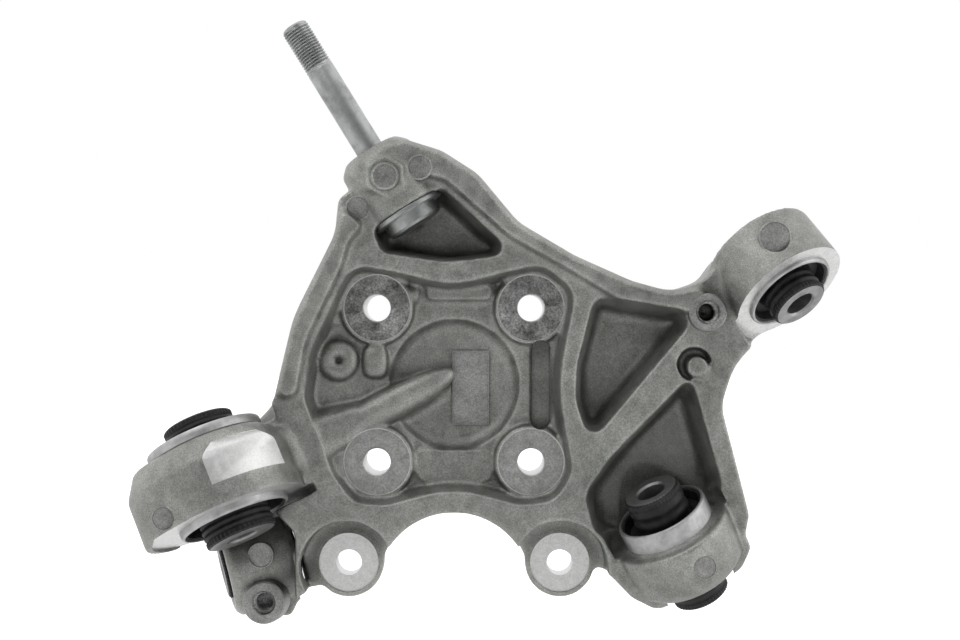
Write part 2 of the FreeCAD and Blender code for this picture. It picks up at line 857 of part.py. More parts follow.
def lug_tools():
    """Seats and holes for the two caliper bolts."""
    return [
        prism("lug_spots", lug_circles("lug_spot_outline", "lug_spot_radius",
                                       "dims.lug_top - dims.lug_spot_depth"),
              "dims.lug_spot_depth + dims.pad_rise"),
        prism("caliper_holes", lug_circles("caliper_hole_outline", "caliper_hole_radius",
                                           f"dims.web_back - {RUN_OUT}"),
              f"dims.lug_top - dims.web_back + {2 * RUN_OUT}"),
    ]


def pin_outline(name, radius, offset, level):
    """Circle at the stub pin, moved towards the upper left by an offset."""
    x, z = size("pin_x") - offset, size("pin_z") + offset
    return front_sketch(name, circle_outline(x, z, size(radius)), level)


def pin_groove_tool():
    """Crescent hollow beside the stub pin, open at the top."""
    outline = pin_outline("pin_groove_outline", "pin_groove_radius", size("pin_offset"),
                          "dims.pin_groove_floor")
    return prism("pin_groove", outline, "dims.rim_top - dims.pin_groove_floor")


def pin_part():
    outline = pin_outline("pin_outline", "pin_radius", 0.0,
                          "dims.pin_groove_floor - dims.pilot_depth")
    return prism("pin", outline, "dims.pin_top - dims.pin_groove_floor + dims.pilot_depth")


def toe_relief_tool():
    return drafted("toe_relief", [
        near_point("toe", 10.7, 33.2, 4), near_point("toe", 24.7, 19.2, 10),
        near_point("toe", 24.7, -10.8, 6), near_point("toe", 26.7, -36.8, 3),
        near_point("toe", -19.3, -36.8, 3), near_point("toe", -19.3, 33.2, 3),
    ], "rim_top", "toe_relief_floor", "wall_draft")


def build_casting():
    web = front_sketch("web_outline", rounded_outline(web_corners()), "dims.web_back")
    hub_pad = front_sketch("hub_pad_outline", circle_outline(0, 0, size("hub_pad_radius")),
                           "dims.pad_back")
    blank = fuse("blank", [
        prism("web", web, "dims.land_top - dims.web_back"),
        drafted("left_rim", left_rim_corners(), "land_top", "rim_top", "rim_draft"),
        drafted("top_rim", top_rim_corners(), "land_top", "rim_top", "rim_draft"),
        prism("hub_pad", hub_pad, "dims.basin_floor - dims.pad_back"),
    ])
    arch = front_sketch("arch_outline", circle_outline(
        0, -size("arch_drop"), size("arch_radius")), f"-{RUN_OUT}")
    hollowed = cut("hollowed", blank, [
        drafted("basin", basin_corners(), "rim_top", "basin_floor", "basin_draft"),
        bowl_tool(),
        slot_tool(),
        pocket_tool("top_pocket", top_pocket_corners(), "top_pocket_floor", "slot_draft"),
        pocket_tool("upper_pocket", upper_pocket_corners(), "upper_pocket_floor",
                    "wall_draft"),
        pocket_tool("lower_pocket", lower_pocket_corners(), "lower_pocket_floor",
                    "wall_draft"),
        prism("caliper_arch", arch, f"dims.rim_top + {2 * RUN_OUT}"),
        prism("lug_reliefs", lug_circles("lug_relief_outline", "lug_relief", "dims.lug_top"),
              "dims.rim_top - dims.lug_top"),
        toe_relief_tool(),
        pin_groove_tool(),
    ])
    cast = fuse("cast", [
        hollowed,
        prism("bosses", hub_circles("boss_outline", "boss_radius", "dims.web_back"),
              "dims.boss_top - dims.web_back", "-dims.boss_draft"),
        prism("lugs", lug_circles("lug_outline", "lug_radius", "dims.web_back"),
              "dims.lug_top - dims.web_back"),
        *rib_parts(),
        *floor_parts(),
        pin_part(),
        *trail_parts(),
        *bevelled_eye("toe", TOE),
        eye_part("upper", UPPER),
        *bevelled_eye("lower", LOWER),
        tapped_boss("toe", "toe_boss_radius", "toe_tapped_top", "web_back"),
        tapped_boss("upper", "tapped_boss_radius", "rim_top", "basin_floor"),
        *stud_parts(),
    ])
    toe_slot = cylinder("toe_slot", shifted(TOE, z=size("toe_length") / 2),
                        "dims.toe_radius", "dims.toe_slot")
    casting = cut("knuckle_casting", cast, [
        *trail_tools(),
        eye_bore("upper", UPPER), eye_bore("lower", LOWER),
        eye_bore("trail", TRAIL), eye_bore("toe", TOE),
        eye_room("upper", UPPER, -1), eye_room("upper", UPPER, 1),
        eye_room("lower", LOWER, -1), eye_room("lower", LOWER, 1),
        toe_slot,
        *stud_tools(),
        tapped_hole("toe", "toe_tapped_top", "toe_tapped_depth"),
        tapped_hole("upper", "rim_top", "tapped_depth"),
        *hub_tools(),
        *lug_tools(),
    ])
    casting.Label = "knuckle_casting"
    return casting


# Bushings: outer sleeve pressed into the eye, rubber bonded to both sleeves

def build_bushing(label, name, frame, inner):
    """Three turned pieces on the axis of one eye; front is the visible side."""
    half = size(name + "_length") / 2
    bore = size(name + "_bore")
    front = half + size(name + "_sleeve_proud")
    wall = bore - size("sleeve_wall")
    collar = size("trail_collar") if name == "trail" else 0.0
    back = -half - collar
    if collar:
        outer = [(wall, back), (size("trail_collar_radius"), back),
                 (size("trail_collar_radius"), -half), (bore, -half),
                 (bore, front), (wall, front)]
    else:
        outer = [(wall, back), (bore, back), (bore, front), (wall, front)]

    flare, tube = size(inner + "_flare"), size(inner + "_radius")
    hole, end = size(inner + "_bore"), size("inner_flare_length")
    stand = size("inner_stand") if name == "upper" else size(name + "_inner_stand")
    low, high = back - stand, front + stand

    stub = flare + size("rubber_collar")
    lip = wall - size("rubber_lip")
    groove, recess = size("rubber_groove"), size("rubber_recess")
    return [
        turned_body(label + "_outer_sleeve", frame, outer),
        turned_body(label + "_inner_sleeve", frame, [
            (hole, low), (flare, low), (flare, low + end), (tube, low + end),
            (tube, high - end), (flare, high - end), (flare, high), (hole, high),
        ]),
        turned_body(label + "_rubber", frame, [
            (tube, low + end), (stub, low + end), (stub, back + groove),
            (lip, back + groove), (lip, back + recess), (wall, back + recess),
            (wall, front - recess), (lip, front - recess), (lip, front - groove),
            (stub, front - groove), (stub, high - end), (tube, high - end),
        ]),
    ]


def build_stud():
    """Damper stud: round head in the pocket, plain shank, chamfered end."""
    flange, head = size("stud_flange"), size("stud_head")
    shank, edge = size("stud_radius"), size("stud_chamfer")
    top, seat = size("stud_head_radius"), size("stud_seat_radius")
    return turned_body("damper_stud", STUD, [
        (0, -flange - head), (top - edge, -flange - head), (top, edge - flange - head),
        (top, -flange), (size("stud_flange_radius"), -flange),
        (size("stud_flange_radius"), 0), (seat, 0), (seat, size("stud_seat_length")),
        (shank, size("stud_seat_length")), (shank, size("stud_reach") - edge),
        (shank - edge, size("stud_reach")), (0, size("stud_reach")),
    ])


nodes = [
    build_casting(),
    *build_bushing("upper_arm_bushing", "upper", UPPER, "inner"),
    *build_bushing("lower_arm_bushing", "lower", LOWER, "inner"),
    *build_bushing("trailing_arm_bushing", "trail", TRAIL, "trail_inner"),
    *build_bushing("toe_link_bushing", "toe", TOE, "inner"),
    build_stud(),
]
doc.recompute()

for feature in doc.Objects:
    if "Invalid" in feature.State or "Error" in feature.State:
        raise RuntimeError(f"{feature.Name} failed: {feature.State}")

os.makedirs(NODE_FOLDER, exist_ok=True)
for node in nodes:
    if node.Shape.isNull() or not node.Shape.isValid():
        raise RuntimeError(f"{node.Label} has no valid shape")
    if len(node.Shape.Solids) != 1:
        raise RuntimeError(f"{node.Label} has {len(node.Shape.Solids)} solids")
    node.Shape.exportStep(os.path.join(NODE_FOLDER, node.Label + ".step"))
    print(node.Label, round(node.Shape.Volume), "mm3,", len(node.Shape.Faces), "faces")
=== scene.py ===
import json
import math

import bmesh
import bpy
from mathutils import Matrix, Vector
from mathutils.bvhtree import BVHTree


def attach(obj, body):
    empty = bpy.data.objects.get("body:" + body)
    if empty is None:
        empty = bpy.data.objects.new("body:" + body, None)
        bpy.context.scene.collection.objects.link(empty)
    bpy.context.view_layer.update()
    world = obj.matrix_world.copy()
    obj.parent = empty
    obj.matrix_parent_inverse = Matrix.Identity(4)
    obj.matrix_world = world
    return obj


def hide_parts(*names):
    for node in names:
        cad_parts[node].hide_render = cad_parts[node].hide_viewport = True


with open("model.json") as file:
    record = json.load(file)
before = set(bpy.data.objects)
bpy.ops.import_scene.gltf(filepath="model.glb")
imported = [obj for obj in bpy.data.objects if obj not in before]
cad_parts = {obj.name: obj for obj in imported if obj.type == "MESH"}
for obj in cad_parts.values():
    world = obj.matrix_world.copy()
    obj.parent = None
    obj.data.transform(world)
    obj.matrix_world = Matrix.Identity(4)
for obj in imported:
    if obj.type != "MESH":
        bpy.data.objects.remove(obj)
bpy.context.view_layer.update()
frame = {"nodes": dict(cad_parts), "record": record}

MM = 0.001
MOUNTS = {mount["name"]: mount for mount in frame["record"]["mounts"]}
BOLT = MOUNTS["hub_bolts"]["dims"]["pcd_mm"] / 2 / math.sqrt(2)
LUG_X = MOUNTS["caliper_bolts"]["dims"]["spacing_x_mm"] / 2
LUG_Z = MOUNTS["caliper_bolts"]["pos_m"][2] / MM

# Levels above the hub face, in millimetres, towards the camera
BASIN_FLOOR = 23.0
SPOT_FACE = 27.0
LUG_FACE = 19.0

# How finely the casting is rounded
VOXEL = 1.0 * MM
SMOOTH_STEPS = 13
DECIMATE = 0.42

# Each eye and its bushing, in millimetres along its own axis; the sleeve stands
# proud of the eye, and the core has a tube that flares at both ends
EYES = {
    "upper_arm": {"length": 29.0, "radius": 30.0, "bore": 23.0, "proud": 2.0,
                  "tube": 11.0, "flare": 14.2, "collar": 0.0, "ribs": 2},
    "lower_arm": {"length": 28.0, "radius": 30.0, "bore": 23.0, "proud": 11.0,
                  "tube": 11.0, "flare": 14.2, "collar": 0.0, "ribs": 2},
    "trailing_arm": {"length": 36.0, "radius": 37.0, "bore": 27.5, "proud": 3.5,
                     "tube": 15.0, "flare": 17.4, "collar": 4.5, "ribs": 3},
    "toe_link": {"length": 32.5, "radius": 24.5, "bore": 21.0, "proud": 3.0,
                 "tube": 11.0, "flare": 14.2, "collar": 0.0, "ribs": 2},
}
SLEEVE_WALL = 1.8
COLLAR_RADIUS = 29.3

# The egg-shaped trailing arm eye and its milled flat
EGG = [(0.0, 37.0), (7.25, 34.1), (14.5, 31.0)]
FLAT = {"turn": -37.0, "depth": 5.8, "half": 23.0, "low": -12.0, "high": 8.0}

# Machined places on the hub and the lugs: radii and depths in millimetres
HUB = {"stock": 17.5, "spot": 17.0, "groove_in": 16.4, "groove_out": 16.95,
       "groove_depth": 0.15, "hole": 6.75, "mouth": 7.3, "face": 66.0,
       "pilot": 35.0, "pilot_depth": 9.0}
LUG = {"stock": 15.5, "spot": 15.0, "hole": 6.5}

# How far a cutter runs past the surface that it faces
RUN_OUT = 4.0

# Slot beside the bowl and number plate, in millimetres
SLOT = {"x": 43.5, "half_width": 5.2, "half_length": 17.3, "floor": 19.0, "top": 30.0}
PLATE = {"low": (-1.0, -20.5), "high": (17.6, 17.0), "base": 14.0, "top": 17.5,
         "edge": 0.6, "floor": 17.1}

# Stud, in millimetres along its own axis
STUD_SIZE = {"shank": 7.0, "head": 7.0, "flange": 2.6, "head_radius": 14.5,
             "flange_radius": 18.8, "seat_radius": 7.5, "seat_length": 35.0,
             "thread": 25.0, "pitch": 1.5, "thread_depth": 0.85}

# Places of the finishes in the casting's list of materials
CAST_SKIN, FACED, CLEAN, STAINED_AND_HOLE_SHADE, MILLED, FLAT_SKIN = range(6)
# Place of the rubber in the inner sleeve's list of materials
RUBBER_SKIN = 1

# Camera, in metres, and its lens in millimetres
CAMERA_PLACE = (13.0 * MM, -828.0 * MM, 32.5 * MM)
CAMERA_LENS = 60.0


# Places

def axis_matrix(centre, axis):
    """Frame with its Z along an axis and its X square to the hub axis."""
    along = Vector(axis).normalized()
    across = Vector((0, 1, 0)).cross(along)
    if across.length < 1e-6:
        across = Vector((1, 0, 0))
    across.normalize()
    depth = along.cross(across)
    turn = Matrix((across, depth, along)).transposed().to_4x4()
    return Matrix.Translation(Vector(centre)) @ turn


def span(node, place):
    """Reach of a node along the Z of a frame, in millimetres."""
    inverse = place.inverted()
    heights = [(inverse @ vertex.co).z / MM for vertex in frame["nodes"][node].data.vertices]
    return min(heights), max(heights)


def eye_place(name):
    """Frame in the middle of an eye's length, Z towards its visible face."""
    mount = MOUNTS[name + "_bore"]
    side = -1 if name == "toe_link" else 1
    place = axis_matrix(mount["pos_m"], side * Vector(mount["axis"]))
    front = span(name + "_bushing_outer_sleeve", place)[1] - EYES[name]["proud"]
    middle = front - EYES[name]["length"] / 2
    return place @ Matrix.Translation((0, 0, middle * MM))


def facing(x, z, height=0.0):
    """Frame on the camera side: its Z points at the camera from a given height."""
    return axis_matrix((x * MM, -height * MM, z * MM), (0, -1, 0))


PLACES = {name: eye_place(name) for name in EYES}
STUD = axis_matrix(MOUNTS["damper_stud"]["pos_m"], MOUNTS["damper_stud"]["axis"])


# Materials

def new_material(name):
    material = bpy.data.materials.new(name)
    material.use_nodes = True
    nodes = material.node_tree.nodes
    nodes.clear()
    output = nodes.new("ShaderNodeOutputMaterial")
    shader = nodes.new("ShaderNodeBsdfPrincipled")
    material.node_tree.links.new(shader.outputs["BSDF"], output.inputs["Surface"])
    return material, shader


class Nodes:
    """Short names for the node types that the materials use."""

    def __init__(self, material):
        self.tree = material.node_tree
        self.place = self.add("ShaderNodeTexCoord").outputs["Object"]

    def add(self, kind):
        return self.tree.nodes.new(kind)

    def link(self, source, target):
        self.tree.links.new(source, target)

    def noise(self, scale, detail=3.0, rough=0.55, place=None):
        node = self.add("ShaderNodeTexNoise")
        node.inputs["Scale"].default_value = scale
        node.inputs["Detail"].default_value = detail
        node.inputs["Roughness"].default_value = rough
        self.link(place or self.place, node.inputs["Vector"])
        return node.outputs["Fac"]

    def ramp(self, fac, stops):
        node = self.add("ShaderNodeValToRGB")
        ramp = node.color_ramp
        while len(ramp.elements) < len(stops):
            ramp.elements.new(0.5)
        for element, (position, colour) in zip(ramp.elements, stops):
            element.position = position
            element.color = (*colour, 1.0)
        self.link(fac, node.inputs["Fac"])
        return node.outputs["Color"]

    def levels(self, fac, low, high, to_low, to_high):
        node = self.add("ShaderNodeMapRange")
        for name, number in zip(("From Min", "From Max", "To Min", "To Max"),
                                (low, high, to_low, to_high)):
            node.inputs[name].default_value = number
        self.link(fac, node.inputs["Value"])
        return node.outputs["Result"]

    def mix(self, blend, fac, first, second):
        node = self.add("ShaderNodeMix")
        node.data_type = "RGBA"
        node.blend_type = blend
        for socket, entry in (("Factor", fac), ("A", first), ("B", second)):
            target = [s for s in node.inputs if s.name == socket and s.enabled][0]
            if isinstance(entry, float):
                target.default_value = entry
            elif isinstance(entry, tuple):
                target.default_value = (*entry, 1.0)
            else:
                self.link(entry, target)
        return [s for s in node.outputs if s.enabled][0]

    def math(self, operation, first, second=0.0):
        node = self.add("ShaderNodeMath")
        node.operation = operation
        for socket, entry in zip(node.inputs, (first, second)):
            if isinstance(entry, float):
                socket.default_value = entry
            else:
                self.link(entry, socket)
        return node.outputs["Value"]

    def bump(self, height, strength, distance, normal=None):
        node = self.add("ShaderNodeBump")
        node.inputs["Strength"].default_value = strength
        node.inputs["Distance"].default_value = distance
        self.link(height, node.inputs["Height"])
        if normal is not None:
            self.link(normal, node.inputs["Normal"])
        return node.outputs["Normal"]

    def painted_occlusion(self, distance):
        # Ambient occlusion used as a colour factor for painted shade
        node = self.add("ShaderNodeAmbientOcclusion")
        node.samples = 4
        node.inputs["Distance"].default_value = distance
        return node.outputs["AO"]


def grey(level, tint=-0.006):
    return (level, level, level + tint)


def cast_material(name, edges):
    material, shader = new_material(name)
    nodes = Nodes(material)
    cloud = nodes.noise(28.0, 4.0)
    blotch = nodes.noise(140.0, 5.0, 0.65)
    grain = nodes.noise(1500.0, 2.0, 0.7)
    base = nodes.ramp(cloud, [(0.25, grey(0.25)), (0.75, grey(0.41))])
    spots = nodes.ramp(blotch, [(0.34, grey(0.6)), (0.6, grey(1.0, 0.0))])
    base = nodes.mix("MULTIPLY", 0.7, base, spots)
    speckle = nodes.ramp(grain, [(0.3, grey(0.45, 0.0)), (0.7, grey(1.3, 0.0))])
    base = nodes.mix("MULTIPLY", 0.7, base, speckle)
    # Painted shade: the cast colour is darkened where ambient occlusion finds close creases
    painted_crevice_shade = nodes.ramp(nodes.painted_occlusion(14 * MM), [(0.35, grey(0.6)), (0.95, grey(1.0, 0.0))])
    base = nodes.mix("MULTIPLY", 0.8, base, painted_crevice_shade)
    # Painted shade: the cast colour is darkened inside pockets and deep recesses, from ambient
    # occlusion
    painted_pocket_shade = nodes.ramp(nodes.painted_occlusion(45 * MM), [(0.3, grey(0.9)), (0.9, grey(1.0, 0.0))])
    base = nodes.mix("MULTIPLY", 0.8, base, painted_pocket_shade)
    if edges:
        # Painted crease shade and edge highlight: concave creases are darkened, and convex edges
        # are lightened as edge wear together with a painted highlight; the whole colour is then
        # lifted again
        curve = nodes.add("ShaderNodeNewGeometry").outputs["Pointiness"]
        painted_crease_shade_and_edge_wear = nodes.ramp(curve, [(0.44, grey(0.62, 0.0)), (0.5, grey(0.79, 0.0)),
                                  (0.56, grey(1.0, 0.0))])
        base = nodes.mix("MULTIPLY", 1.0, base, painted_crease_shade_and_edge_wear)
        base = nodes.mix("MULTIPLY", 1.0, base, (1.2, 1.22, 1.17))
    nodes.link(base, shader.inputs["Base Color"])
    shader.inputs["Metallic"].default_value = 0.85
    nodes.link(nodes.levels(blotch, 0.3, 0.7, 0.44, 0.6), shader.inputs["Roughness"])
    coarse = nodes.bump(nodes.noise(420.0, 3.0), 0.35, 0.5 * MM)
    fine = nodes.bump(grain, 0.35, 0.25 * MM, coarse)
    nodes.link(fine, shader.inputs["Normal"])
    return material


def turned_height(nodes, spacing):
    """Fine rings round each hub bolt, as a facing tool leaves them."""
    parts = nodes.add("ShaderNodeSeparateXYZ")
    nodes.link(nodes.place, parts.inputs["Vector"])
    half = BOLT * MM
    x = nodes.math("SUBTRACT", nodes.math("ABSOLUTE", parts.outputs["X"]), half)
    z = nodes.math("SUBTRACT", nodes.math("ABSOLUTE", parts.outputs["Z"]), half)
    squares = nodes.math("ADD", nodes.math("MULTIPLY", x, x), nodes.math("MULTIPLY", z, z))
    radius = nodes.math("SQRT", squares)
    return nodes.math("SINE", nodes.math("MULTIPLY", radius, 2 * math.pi / spacing))


def machined_material(name, low, high, rough, mottle, rings=False, patch=260.0):
    """Cut metal: fine tool marks and some stain."""
    material, shader = new_material(name)
    nodes = Nodes(material)
    stain = nodes.noise(patch, 8.0, 0.75)
    fine = nodes.noise(1100.0, 2.0)
    base = nodes.ramp(stain, [(0.36, grey(low)), (0.64, grey(high))])
    speckle = nodes.ramp(fine, [(0.35, grey(1 - mottle, 0.0)), (0.65, grey(1.0, 0.0))])
    base = nodes.mix("MULTIPLY", 1.0, base, speckle)
    nodes.link(base, shader.inputs["Base Color"])
    shader.inputs["Metallic"].default_value = 0.9
    nodes.link(nodes.levels(stain, 0.3, 0.7, rough - 0.06, rough + 0.1),
               shader.inputs["Roughness"])
    if rings:
        marks = nodes.bump(turned_height(nodes, 0.7 * MM), 0.3, 0.06 * MM)
    else:
        lines = nodes.add("ShaderNodeMapping")
        lines.inputs["Scale"].default_value = (120.0, 700.0, 2600.0)
        nodes.link(nodes.place, lines.inputs["Vector"])
        marks = nodes.bump(nodes.noise(1.0, 2.0, place=lines.outputs["Vector"]), 0.15, 0.1 * MM)
    nodes.link(nodes.bump(fine, 0.1, 0.1 * MM, marks), shader.inputs["Normal"])
    return material


def steel_material(name, level, rough, tint, mottle):
    material, shader = new_material(name)
    nodes = Nodes(material)
    stain = nodes.noise(120.0, 5.0, 0.65)
    fine = nodes.noise(1600.0, 2.0)
    dark = tuple(c * (1 - mottle) for c in (level, level + tint, level + tint / 2))
    base = nodes.ramp(stain, [(0.3, dark), (0.6, (level, level + tint, level + tint / 2))])
    nodes.link(base, shader.inputs["Base Color"])
    shader.inputs["Metallic"].default_value = 1.0
    nodes.link(nodes.levels(stain, 0.3, 0.7, rough + 0.1, rough), shader.inputs["Roughness"])
    nodes.link(nodes.bump(fine, 0.12, 0.1 * MM), shader.inputs["Normal"])
    return material


def rubber_material():
    material, shader = new_material("bushing_rubber")
    nodes = Nodes(material)
    dust = nodes.noise(180.0, 6.0, 0.7)
    grain = nodes.noise(1400.0, 3.0)
    base = nodes.ramp(dust, [(0.42, grey(0.006, 0.0)), (0.75, grey(0.03, 0.0))])
    shader.inputs["Specular IOR Level"].default_value = 0.3
    nodes.link(base, shader.inputs["Base Color"])
    nodes.link(nodes.levels(dust, 0.3, 0.7, 0.42, 0.7), shader.inputs["Roughness"])
    nodes.link(nodes.bump(grain, 0.3, 0.2 * MM), shader.inputs["Normal"])
    return material


CAST = cast_material("cast_aluminium", edges=True)
PLAIN = cast_material("cast_aluminium_flat", edges=False)
MACHINED = machined_material("machined_aluminium", 0.54, 0.7, 0.36, 0.16)
CLEAN_SPOT = machined_material("spot_face_clean", 0.28, 0.44, 0.4, 0.3,
                               rings=True, patch=150.0)
# Dark stained machined finish of the upper spot faces; inside the tapped holes the same dark
# finish is painted shade
DARK_SPOT = machined_material("spot_face_stain_and_hole_shade", 0.12, 0.5, 0.45, 0.5,
                              rings=True, patch=120.0)
BRIGHT = machined_material("milled_flat", 0.66, 0.78, 0.38, 0.1)
FINISHES = [CAST, MACHINED, CLEAN_SPOT, DARK_SPOT, BRIGHT, PLAIN]
SLEEVE = steel_material("sleeve_steel", 0.46, 0.46, 0.0, 0.35)
INNER = steel_material("inner_steel", 0.3, 0.42, 0.0, 0.4)
ZINC = steel_material("zinc_steel", 0.38, 0.4, 0.01, 0.4)
RUBBER = rubber_material()


# Meshes

def mesh_object(name, verts, faces, place=None, finish=0, materials=None):
    mesh = bpy.data.meshes.new(name)
    mesh.from_pydata(verts, [], faces)
    if place is not None:
        mesh.transform(place)
    for material in materials or FINISHES:
        mesh.materials.append(material)
    for polygon in mesh.polygons:
        polygon.material_index = finish
    item = bpy.data.objects.new(name, mesh)
    bpy.context.scene.collection.objects.link(item)
    bm = bmesh.new()
    bm.from_mesh(mesh)
    bmesh.ops.recalc_face_normals(bm, faces=bm.faces)
    bm.to_mesh(mesh)
    bm.free()
    return item


def lathe(name, profile, place, segments=96, finish=0, materials=None, wave=None):
    """Turned solid from (radius, height) points in millimetres; closed by itself."""
    verts, rings = [], []
    for radius, height in profile:
        if radius < 1e-6:
            rings.append([len(verts)])
            verts.append((0.0, 0.0, height * MM))
            continue
        ring = []
        for step in range(segments):
            angle = 2 * math.pi * step / segments
            swell = wave(radius, height, angle) if wave else 0.0
            reach = (radius + swell) * MM
            ring.append(len(verts))
            verts.append((reach * math.cos(angle), reach * math.sin(angle), height * MM))
        rings.append(ring)
    faces = []
    pairs = list(zip(rings, rings[1:]))
    if len(rings[0]) > 1 and len(rings[-1]) > 1:
        pairs.append((rings[-1], rings[0]))
    for low, high in pairs:
        for step in range(segments):
            after = (step + 1) % segments
            corners = [low[step % len(low)], low[after % len(low)],
                       high[after % len(high)], high[step % len(high)]]
            corners = list(dict.fromkeys(corners))
            if len(corners) > 2:
                faces.append(corners)
    return mesh_object(name, verts, faces, place, finish, materials)


def rod(name, place, radius, low, high, finish=0, segments=72):
    return lathe(name, [(0, low), (radius, low), (radius, high), (0, high)], place,
                 segments, finish)


def box(name, place, low, high, finish=0):
    corners = [(x * MM, y * MM, z * MM) for x in (low[0], high[0])
               for y in (low[1], high[1]) for z in (low[2], high[2])]
    faces = [(0, 1, 3, 2), (4, 6, 7, 5), (0, 4, 5, 1), (2, 3, 7, 6), (0, 2, 6, 4), (1, 5, 7, 3)]
    return mesh_object(name, corners, faces, place, finish)


def bumped(name, place, size, power=2.5, rows=14, segments=32):
    """Rounded lump: a ball stretched to three half sizes."""
    verts, faces = [], []
    for row in range(rows + 1):
        rise = math.pi * row / rows
        for step in range(segments):
            turn = 2 * math.pi * step / segments
            parts = (math.sin(rise) * math.cos(turn), math.sin(rise) * math.sin(turn),
                     math.cos(rise))
            verts.append(tuple(math.copysign(abs(part) ** (2 / power), part) * half * MM
                               for part, half in zip(parts, size)))
    for row in range(rows):
        for step in range(segments):
            after = (step + 1) % segments
            faces.append((row * segments + step, row * segments + after,
                          (row + 1) * segments + after, (row + 1) * segments + step))
    item = mesh_object(name, verts, faces, place)
    bm = bmesh.new()
    bm.from_mesh(item.data)
    bmesh.ops.remove_doubles(bm, verts=bm.verts, dist=1e-6)
    bmesh.ops.recalc_face_normals(bm, faces=bm.faces)
    bm.to_mesh(item.data)
    bm.free()
    return item


def cast_ring(place, radius, tube, steps=20):
    """Closed round lump with a dimple in its middle."""
    profile = []
    for step in range(steps):
        turn = 2 * math.pi * step / steps
        profile.append((radius + tube * math.cos(turn), tube * math.sin(turn)))
    return lathe("cast_ring", profile, place, 48)


def apply_modifier(item, modifier):
    bpy.context.view_layer.update()
    depsgraph = bpy.context.evaluated_depsgraph_get()
    result = bpy.data.meshes.new_from_object(item.evaluated_get(depsgraph),
                                             preserve_all_data_layers=True,
                                             depsgraph=depsgraph)
    item.modifiers.remove(modifier)
    old = item.data
    item.data = result
    bpy.data.meshes.remove(old)


def combine(item, tool, operation):
    """Cuts or adds a tool, which goes away afterwards."""
    modifier = item.modifiers.new("combine", "BOOLEAN")
    modifier.operation = operation
    modifier.solver = "MANIFOLD"
    modifier.object = tool
    before = len(item.data.polygons)
    apply_modifier(item, modifier)
    if len(item.data.polygons) < before / 2:
        raise RuntimeError("the tool " + tool.name + " removed the piece")
    bpy.data.objects.remove(tool)


def join(items, name):
    """One mesh with the shapes of several objects, which go away."""
    bm = bmesh.new()
    for item in items:
        bm.from_mesh(item.data)
    mesh = bpy.data.meshes.new(name)
    bm.to_mesh(mesh)
    bm.free()
    for material in FINISHES:
        mesh.materials.append(material)
    for item in items:
        bpy.data.objects.remove(item)
    joined = bpy.data.objects.new(name, mesh)
    bpy.context.scene.collection.objects.link(joined)
    return joined


# The casting: rounded cast skin first, then its machined faces and holes

def cast_blank():
    source = frame["nodes"]["knuckle_casting"]
    copy = bpy.data.objects.new("blank", source.data.copy())
    bpy.context.scene.collection.objects.link(copy)
    return copy


def free_toe_eye(item):
    """Deepens the recess round the toe link eye, so that its round body stands free."""
    low, high = 12.0, 30.0
    outline = [(-91.1, -58.4), (-81.0, -66.0), (-77.1, -75.0), (-77.1, -102.4),
               (-75.1, -128.4), (-121.1, -128.4), (-121.1, -58.4)]
    verts = [(x * MM, z * MM, height * MM) for height in (low, high) for x, z in outline]
    count = len(outline)
    faces = [(i, (i + 1) % count, count + (i + 1) % count, count + i) for i in range(count)]
    faces += [tuple(range(count)), tuple(range(count, 2 * count))]
    combine(item, mesh_object("recess", verts, faces, facing(0, 0)), "DIFFERENCE")


def machining_plugs():
    """Stock that fills each machined place, so that its cut leaves a crisp edge."""
    plugs = []
    for name, eye in EYES.items():
        half = eye["length"] / 2
        extra = 0.0 if name == "trailing_arm" else 1.5
        plugs.append(rod(name + "_plug", PLACES[name], eye["bore"] + 1.0, -half, half + extra))
        if name == "toe_link":
            wide = eye["radius"]
            plugs.append(lathe("toe_body", [(0, -half), (wide - 3, -half), (wide, -half + 3),
                                            (wide, half), (0, half)], PLACES[name], 96))
        if name in ("upper_arm", "toe_link"):
            plugs.append(rod(name + "_face", PLACES[name], eye["radius"], half - 2.0,
                             half + extra))
    for offset, radius in EGG:
        place = PLACES["trailing_arm"] @ Matrix.Translation((offset * MM, 0, 0))
        plugs.append(rod("egg_face", place, radius, 14.0, 19.5, segments=128))
    plugs.append(lathe("flat_stock", [(0, -12.5), (33.3, -12.5), (37, -6), (37, 8.5), (0, 8.5)],
                       PLACES["trailing_arm"], 128))
    for x in (-BOLT, BOLT):
        for z in (-BOLT, BOLT):
            plugs.append(rod("boss_plug", facing(x, z), HUB["stock"], 1.0, SPOT_FACE + 1.0))
    for x in (-LUG_X, LUG_X):
        plugs.append(rod("lug_plug", facing(x, LUG_Z), LUG["stock"], 4.0, LUG_FACE + 1.5))
    plugs.append(rod("hub_plug", facing(0, 0), HUB["face"], -1.5, 5.0, segments=128))
    return plugs


def crown():
    """Six-sided raised pad on the camera side of the stud boss."""
    middle, level = (-33.5, 102.8), 43.0
    verts, faces = [], []
    for reach, height in ((14.0, level - 4), (10.0, level + 3.4)):
        for step in range(6):
            angle = math.radians(31.7 + 60 * step)
            verts.append((reach * math.cos(angle) * MM, reach * math.sin(angle) * MM,
                          (height - level) * MM))
    for step in range(6):
        faces.append((step, (step + 1) % 6, 6 + (step + 1) % 6, 6 + step))
    faces += [tuple(range(6)), tuple(range(6, 12))]
    return mesh_object("crown", verts, faces, facing(*middle, level))


